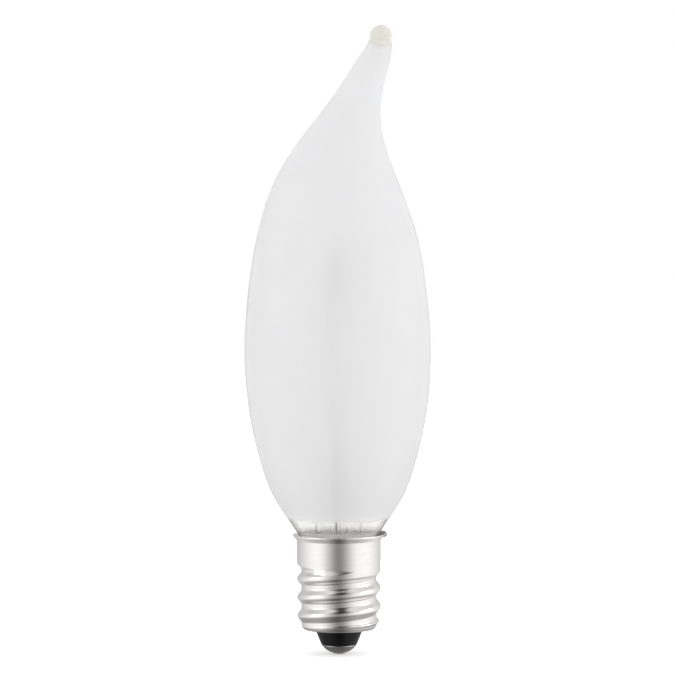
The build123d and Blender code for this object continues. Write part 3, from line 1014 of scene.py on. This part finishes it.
cement = {"rowStep": 0.25, "segments": 128}
rimSolder = {
    "radius": 0.42, "inset": 0.14, "rise": 0.04, "sweep": 22.0, "bluntness": 2.5,
    "lump": 0.1, "lumpSize": 0.6, "rows": 33, "sides": 24,
}


def basingCement():
    low, high = (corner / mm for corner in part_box("basing_cement"))
    glass = [point for point in envelopeOutline() if low.z <= point.y <= high.z]
    outer = skirtRadius - shell["sheet"]
    bore = max(envelope["neckRadius"], glass[0].x)
    outline = [Vector((outer, low.z)), Vector((outer, high.z)), *reversed(glass), Vector((bore, low.z))]
    mesh = turnedMesh(divided(outline, cement["rowStep"]), cement["segments"], True)
    addPiece("basingCement", mesh, bakedCement(), "basing_cement")


def sideSolder():
    # a short uneven bead that runs along the rim over the lead's end
    middle = rimRadius - rimSolder["inset"]
    height = rimZ + rimSolder["rise"]
    reach = math.radians(rimSolder["sweep"] / 2) + rimSolder["radius"] / middle
    rings = []
    for share in np.linspace(-1, 1, rimSolder["rows"]):
        swell = rimSolder["radius"] * math.sqrt(1 - abs(share) ** rimSolder["bluntness"])
        azimuth = rimTurn + share * reach
        turns = fullTurn(rimSolder["sides"]) if swell > poleRadius else [0]
        rings.append([
            polar(middle + swell * math.cos(turn), azimuth, height - swell * math.sin(turn))
            for turn in turns])
    mesh = ringMesh(rings)
    lumpy(mesh, rimSolder["lumpSize"], rimSolder["lump"])
    addPiece("rimSolder", mesh, solder, "rim_solder")


basingCement()
sideSolder()
print("cement and side solder set")


# Studio: white floor and surround with a dark gap at the front that bright metal mirrors

studio = {
    "floorSize": 3000, "floorLift": 0.35, "skyLevel": 1.01, "sightHeight": 15,
    "tentLevel": 1.06, "gapLevel": 0.24, "gapTo": 57.0,
    "backLevel": 0.55, "backFrom": 70.0, "backTo": 165.0, "backShift": 10.0,
    "topFront": 0.12, "topSide": 0.8, "topFrom": 0.35, "topTo": 0.75,
    "bottomLevel": 0.4, "bottomFrom": 0.5, "bottomTo": 0.9,
    "paintedShadowLevel": 0.24, "nearFrom": 1, "nearTo": 6.5, "nearShift": 2.0,
}
camera = {
    "distance": 344, "aimX": -0.01, "aimHeight": 43.65, "elevation": 0.9, "view": 15.4, "roll": 0.3,
    "clipStart": 10, "clipEnd": 20000,
}
boxes = {
    "leftBox": {"azimuth": -70, "distance": 420, "height": 90, "width": 260, "tall": 390, "power": 0.28},
    "rightBox": {"azimuth": 85, "distance": 420, "height": 90, "width": 300, "tall": 450, "power": 0.52},
}
boxAim = Vector((0, 0, 45))


def surroundGroup():
    # how bright the tent is in a direction: darker at its front gap, behind, overhead and below
    tree = bpy.data.node_groups.new("tentBrightness", "ShaderNodeTree")
    tree.interface.new_socket("Direction", in_out="INPUT", socket_type="NodeSocketVector")
    tree.interface.new_socket("Level", in_out="OUTPUT", socket_type="NodeSocketFloat")
    number = (tree, "ShaderNodeMath")
    # a soft range takes its value, from and to, and then the levels there
    soft = {"tree": tree, "kind": "ShaderNodeMapRange", "interpolation_type": "SMOOTHSTEP"}
    gapTo, backFrom, backTo, backShift = (
        math.radians(studio[name]) for name in ("gapTo", "backFrom", "backTo", "backShift"))
    given = addNode(tree, "NodeGroupInput")
    ahead = addNode(tree, "ShaderNodeVectorMath", (given,), operation="NORMALIZE")
    x, y, z = addNode(tree, "ShaderNodeSeparateXYZ", (ahead,)).outputs
    front = addNode(*number, (y, -1.0), operation="MULTIPLY")
    azimuth = addNode(*number, (x, front), operation="ARCTAN2")
    away = addNode(*number, (azimuth,), operation="ABSOLUTE")
    gap = addNode(**soft, inputs=(away, 0, gapTo, studio["gapLevel"], 1))
    shifted = addNode(*number, (azimuth, backShift), operation="SUBTRACT")
    behind = addNode(*number, (shifted,), operation="ABSOLUTE")
    back = addNode(**soft, inputs=(behind, backFrom, backTo, 1, studio["backLevel"]))
    overhead = addNode(**soft, inputs=(away, 0, gapTo, studio["topFront"], studio["topSide"]))
    top = addNode(**soft, inputs=(z, studio["topFrom"], studio["topTo"], studio["tentLevel"], overhead))
    down = addNode(*number, (z, -1.0), operation="MULTIPLY")
    bottom = addNode(
        **soft, inputs=(down, studio["bottomFrom"], studio["bottomTo"], 1, studio["bottomLevel"]))
    sides = addNode(*number, (gap, back), operation="MULTIPLY")
    ends = addNode(*number, (top, bottom), operation="MULTIPLY")
    level = addNode(*number, (sides, ends), operation="MULTIPLY")
    addNode(tree, "NodeGroupOutput", (level,))
    return tree


def rayKinds(tree):
    # first what a surface mirrors, then what the camera sees, straight or through glass
    path = addNode(tree, "ShaderNodeLightPath").outputs
    through = path["Is Transmission Ray"]
    solid = addNode(tree, "ShaderNodeMath", (1.0, through), operation="SUBTRACT")
    mirrored = addNode(tree, "ShaderNodeMath", (path["Is Glossy Ray"], solid), operation="MULTIPLY")
    seen = addNode(tree, "ShaderNodeMath", (path["Is Camera Ray"], through), operation="MAXIMUM")
    return mirrored, seen


def whiteSurround(surround):
    world = bpy.data.worlds.new("whiteSurround")
    bpy.context.scene.world = world
    world.use_nodes = True
    tree = world.node_tree
    tree.nodes.clear()
    mirrored, seen = rayKinds(tree)
    direction = addNode(tree, "ShaderNodeTexCoord").outputs["Generated"]
    tent = addNode(tree, "ShaderNodeGroup", (direction,), node_tree=surround)
    plain = addNode(tree, "ShaderNodeMix", {0: seen, 2: studio["skyLevel"], 3: 1.0}, data_type="FLOAT")
    strength = addNode(tree, "ShaderNodeMix", {0: mirrored, 2: plain, 3: tent}, data_type="FLOAT")
    sky = addNode(tree, "ShaderNodeBackground", {"Color": linear("#FFFFFF"), "Strength": strength})
    addNode(tree, "ShaderNodeOutputWorld", {"Surface": sky})


def whitePaper(surround):
    # white paper: keeps the shadow; what mirrors it sees instead a painted glow at the tent's brightness,
    # with a painted shadow round the contact
    material, tree, place = newMaterial("whitePaper")
    mirrored, seen = rayKinds(tree)
    lift = addNode(tree, "ShaderNodeMath", (seen, studio["floorLift"]), operation="MULTIPLY")
    paper = addNode(tree, "ShaderNodeBsdfPrincipled", {
        "Base Color": linear("#FAFAFA"), "Roughness": 0.9, "Specular IOR Level": 0,
        "Emission Color": linear("#FFFFFF"), "Emission Strength": lift})
    sightShift, nearShift = (0, 0, -studio["sightHeight"] * mm), (studio["nearShift"] * mm, 0, 0)
    sight = addNode(tree, "ShaderNodeVectorMath", (place, sightShift), operation="ADD")
    tent = addNode(tree, "ShaderNodeGroup", (sight,), node_tree=surround)
    # painted shadow: to mirrors the floor is painted dark close round the contact
    moved = addNode(tree, "ShaderNodeVectorMath", (place, nearShift), operation="ADD")
    apart = addNode(tree, "ShaderNodeVectorMath", (moved,), operation="LENGTH")
    under = addNode(tree, "ShaderNodeMapRange", {
        "Value": apart, "From Min": studio["nearFrom"] * mm, "From Max": studio["nearTo"] * mm},
        interpolation_type="SMOOTHSTEP")
    mirroredGlowWithShadow = addNode(tree, "ShaderNodeMix", {
        0: under, 2: studio["paintedShadowLevel"], 3: tent}, data_type="FLOAT")
    glow = addNode(tree, "ShaderNodeEmission", {"Color": linear("#FFFFFF"), "Strength": mirroredGlowWithShadow})
    both = addNode(tree, "ShaderNodeMixShader", (mirrored, paper, glow))
    addNode(tree, "ShaderNodeOutputMaterial", {"Surface": both})
    return material


def paperFloor(material):
    half = studio["floorSize"] / 2 * mm
    mesh = bpy.data.meshes.new("paperFloor")
    corners = [(-half, -half, 0), (half, -half, 0), (half, half, 0), (-half, half, 0)]
    mesh.from_pydata(corners, [], [(0, 1, 2, 3)])
    mesh.materials.append(material)
    addObject("paperFloor", mesh)


def softBox(name, azimuth, distance, height, width, tall, power):
    lamp = bpy.data.lights.new(name, "AREA")
    lamp.shape = "RECTANGLE"
    lamp.size = width * mm
    lamp.size_y = tall * mm
    lamp.energy = power
    light = addObject(name, lamp)
    light.location = polar(distance, math.radians(azimuth - 90), height) * mm
    light.rotation_mode = "QUATERNION"
    light.rotation_quaternion = (boxAim * mm - light.location).to_track_quat("-Z", "Y")


def photoCamera():
    lens = bpy.data.cameras.new("photoCamera")
    lens.lens = lens.sensor_width / 2 / math.tan(math.radians(camera["view"]) / 2)
    lens.clip_start = camera["clipStart"] * mm
    lens.clip_end = camera["clipEnd"] * mm
    eye = addObject("photoCamera", lens)
    tilt = math.radians(camera["elevation"])
    aim = Vector((camera["aimX"], 0, camera["aimHeight"]))
    back = Vector((0, -math.cos(tilt), math.sin(tilt)))
    eye.location = (aim + back * camera["distance"]) * mm
    eye.rotation_mode = "QUATERNION"
    roll = Quaternion((0, 0, 1), -math.radians(camera["roll"]))
    eye.rotation_quaternion = (-back).to_track_quat("-Z", "Y") @ roll
    bpy.context.scene.camera = eye


tentBrightness = surroundGroup()
whiteSurround(tentBrightness)
paperFloor(whitePaper(tentBrightness))
for boxName, box in boxes.items():
    softBox(boxName, **box)
photoCamera()
bpy.context.scene.view_settings.view_transform = "Standard"
print("studio and camera set")
